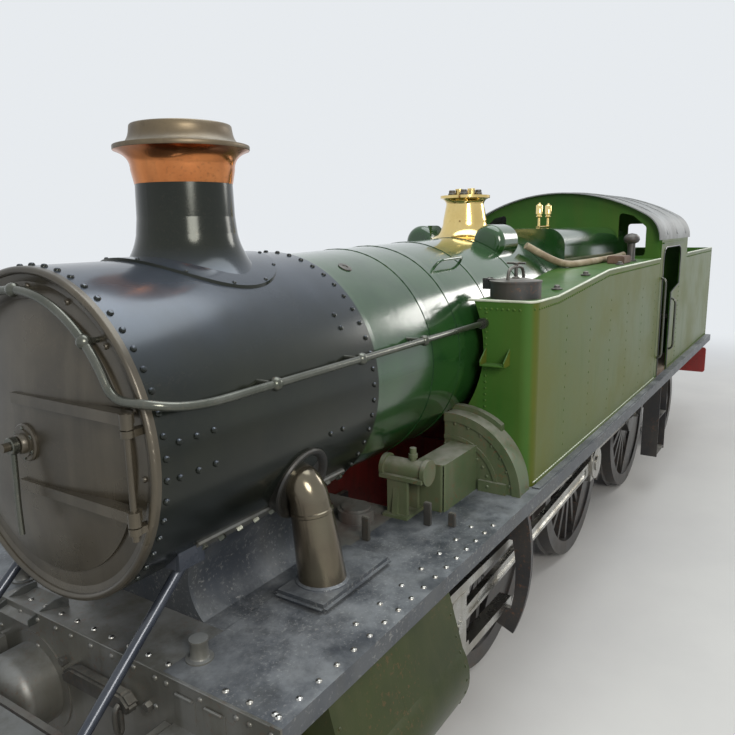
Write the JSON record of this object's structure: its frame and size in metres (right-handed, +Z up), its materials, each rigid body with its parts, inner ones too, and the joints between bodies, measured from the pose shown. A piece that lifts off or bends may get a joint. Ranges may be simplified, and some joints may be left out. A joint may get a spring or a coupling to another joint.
{
  "type": "tank steam locomotive",
  "caption": "Side-tank steam locomotive with coupled driving wheels, leading and trailing trucks, outside cylinders, copper-capped chimney, cab and coal bunker.",
  "frame": {"origin": "centre of the bounding box in plan, at the lowest point of the wheel flanges, 28 mm below the rail top", "axes": "+X forward, +Y to the locomotive's left, +Z up"},
  "size_m": [12.5, 2.77, 3.8779],
  "materials": {
    "beam_red": "red paint, dusty",
    "brass_bright": "polished brass",
    "bright_steel": "oiled bright steel",
    "cast_black": "cast iron, sooty",
    "copper_cap": "polished copper with a dull brown lip",
    "floor_wood": "worn dark boards",
    "frame_black": "worn satin black paint with rust and oil",
    "frame_red": "dull red paint with grime",
    "green_boiler": "gloss dark green paint",
    "green_cylinder": "faded olive green paint",
    "green_tank": "weathered satin green paint with vertical streaks",
    "plate_grey": "worn blue-black plate with rust",
    "roof_grey": "matt grey paint with soot",
    "smokebox_black": "satin black heat-proof paint with a brown sheen",
    "wheel_black": "worn satin black paint over cast centres, bright worn treads"
  },
  "bodies": {
    "engine": {"ashpan": "frame_black", "axleboxes": "frame_black", "blast_pipe": "cast_black", "boiler_barrel": "green_boiler", "brake_gear": "frame_black", "bunker": "green_tank", "cab_back": "green_tank", "cab_fittings": "cast_black", "cab_floor": "floor_wood", "cab_front": "green_tank", "cab_roof": "roof_grey", "cab_sides": "green_tank", "cab_steps": "frame_black", "chimney": "smokebox_black", "chimney_cap": "copper_cap", "cylinders": "green_cylinder", "draw_hooks": "bright_steel", "feed_covers": "green_boiler", "filler_necks": "frame_black", "firebox": "green_boiler", "frame_stretchers": "frame_red", "front_buffer_beam": "beam_red", "front_buffers": "frame_black", "front_platform": "plate_grey", "front_stays": "frame_black", "handrail": "bright_steel", "leaf_springs": "frame_black", "main_frames": "frame_red", "motion_brackets": "frame_black", "rear_buffer_beam": "beam_red", "rear_buffers": "frame_black", "rocker_bearings": "green_tank", "running_plates": "plate_grey", "safety_valve": "brass_bright", "side_tanks": "green_tank", "slide_bars": "bright_steel", "smokebox_front": "smokebox_black", "smokebox_saddle": "smokebox_black", "smokebox_shell": "smokebox_black", "splashers": "green_tank", "steam_pipes": "smokebox_black", "tank_arches": "green_tank"},
    "driving_wheels": {"driving_wheelset": "wheel_black"},
    "leading_wheels": {"leading_wheelset": "wheel_black"},
    "trailing_wheels": {"trailing_wheelset": "wheel_black"},
    "pony_truck": {"pony_truck": "frame_black"},
    "radial_truck": {"radial_truck": "frame_black"},
    "pony_wheels": {"pony_wheelset": "wheel_black"},
    "radial_wheels": {"radial_wheelset": "wheel_black"},
    "coupling_rod_left": {"coupling_rod_left": "bright_steel"},
    "coupling_rod_right": {"coupling_rod_right": "bright_steel"},
    "crosshead_left": {"crosshead_left": "bright_steel"},
    "crosshead_right": {"crosshead_right": "bright_steel"},
    "connecting_rod_left": {"connecting_rod_left": "bright_steel"},
    "connecting_rod_right": {"connecting_rod_right": "bright_steel"},
    "smokebox_door": {"smokebox_door": "smokebox_black"},
    "tank_lid_left": {"tank_lid_left": "frame_black"},
    "tank_lid_right": {"tank_lid_right": "frame_black"}
  },
  "joints": [
    {"name": "driving_wheels_turn", "type": "hinge", "parent": "engine", "child": "driving_wheels", "pos_m": [0.15, 0, 0.8915], "axis": [0, 1, 0], "continuous": true},
    {"name": "leading_wheels_turn", "type": "hinge", "parent": "engine", "child": "leading_wheels", "pos_m": [2.36, 0, 0.8915], "axis": [0, 1, 0], "continuous": true},
    {"name": "trailing_wheels_turn", "type": "hinge", "parent": "engine", "child": "trailing_wheels", "pos_m": [-2.136, 0, 0.8915], "axis": [0, 1, 0], "continuous": true},
    {"name": "pony_truck_swing", "type": "hinge", "parent": "engine", "child": "pony_truck", "pos_m": [3.6, 0, 0.5105], "axis": [0, 0, 1], "range_deg": [-1.5, 1.5]},
    {"name": "radial_truck_swing", "type": "hinge", "parent": "engine", "child": "radial_truck", "pos_m": [-3.3, 0, 0.587], "axis": [0, 0, 1], "range_deg": [-2.5, 2.5]},
    {"name": "pony_wheels_turn", "type": "hinge", "parent": "pony_truck", "child": "pony_wheels", "pos_m": [5.027, 0, 0.5105], "axis": [0, 1, 0], "continuous": true},
    {"name": "radial_wheels_turn", "type": "hinge", "parent": "radial_truck", "child": "radial_wheels", "pos_m": [-4.65, 0, 0.587], "axis": [0, 1, 0], "continuous": true},
    {"name": "coupling_rod_left_pin", "type": "hinge", "parent": "driving_wheels", "child": "coupling_rod_left", "pos_m": [0.45824, 0.96, 1.11545], "axis": [0, 1, 0], "continuous": true},
    {"name": "crosshead_left_slide", "type": "slide", "parent": "engine", "child": "crosshead_left", "axis": [1, 0, 0], "range_m": [-0.6857, 0.0765]},
    {"name": "connecting_rod_left_pin", "type": "hinge", "parent": "crosshead_left", "child": "connecting_rod_left", "pos_m": [3.45394, 1.08, 0.955], "axis": [0, 1, 0], "range_deg": [-11.59, 3.01]},
    {"name": "coupling_rod_right_pin", "type": "hinge", "parent": "driving_wheels", "child": "coupling_rod_right", "pos_m": [0.37395, -0.96, 0.58327], "axis": [0, 1, 0], "continuous": true},
    {"name": "crosshead_right_slide", "type": "slide", "parent": "engine", "child": "crosshead_right", "axis": [1, 0, 0], "range_m": [-0.5826, 0.1796]},
    {"name": "connecting_rod_right_pin", "type": "hinge", "parent": "crosshead_right", "child": "connecting_rod_right", "pos_m": [3.35083, -1.08, 0.955], "axis": [0, 1, 0], "range_deg": [-1.4, 13.19]},
    {"name": "smokebox_door_hinge", "type": "hinge", "parent": "engine", "child": "smokebox_door", "pos_m": [5.375, 0.665, 2.478], "axis": [0, 0, 1], "range_deg": [0, 130]},
    {"name": "tank_lid_left_hinge", "type": "hinge", "parent": "engine", "child": "tank_lid_left", "pos_m": [2.22, 0.736, 2.97], "axis": [1, 0, 0], "range_deg": [0, 100]},
    {"name": "tank_lid_right_hinge", "type": "hinge", "parent": "engine", "child": "tank_lid_right", "pos_m": [2.22, -0.736, 2.97], "axis": [-1, 0, 0], "range_deg": [0, 100]}
  ],
  "couplings": [
    {"joint": "leading_wheels_turn", "follows": "driving_wheels_turn", "ratio": 1},
    {"joint": "trailing_wheels_turn", "follows": "driving_wheels_turn", "ratio": 1},
    {"joint": "coupling_rod_left_pin", "follows": "driving_wheels_turn", "ratio": -1},
    {"joint": "coupling_rod_right_pin", "follows": "driving_wheels_turn", "ratio": -1}
  ]
}
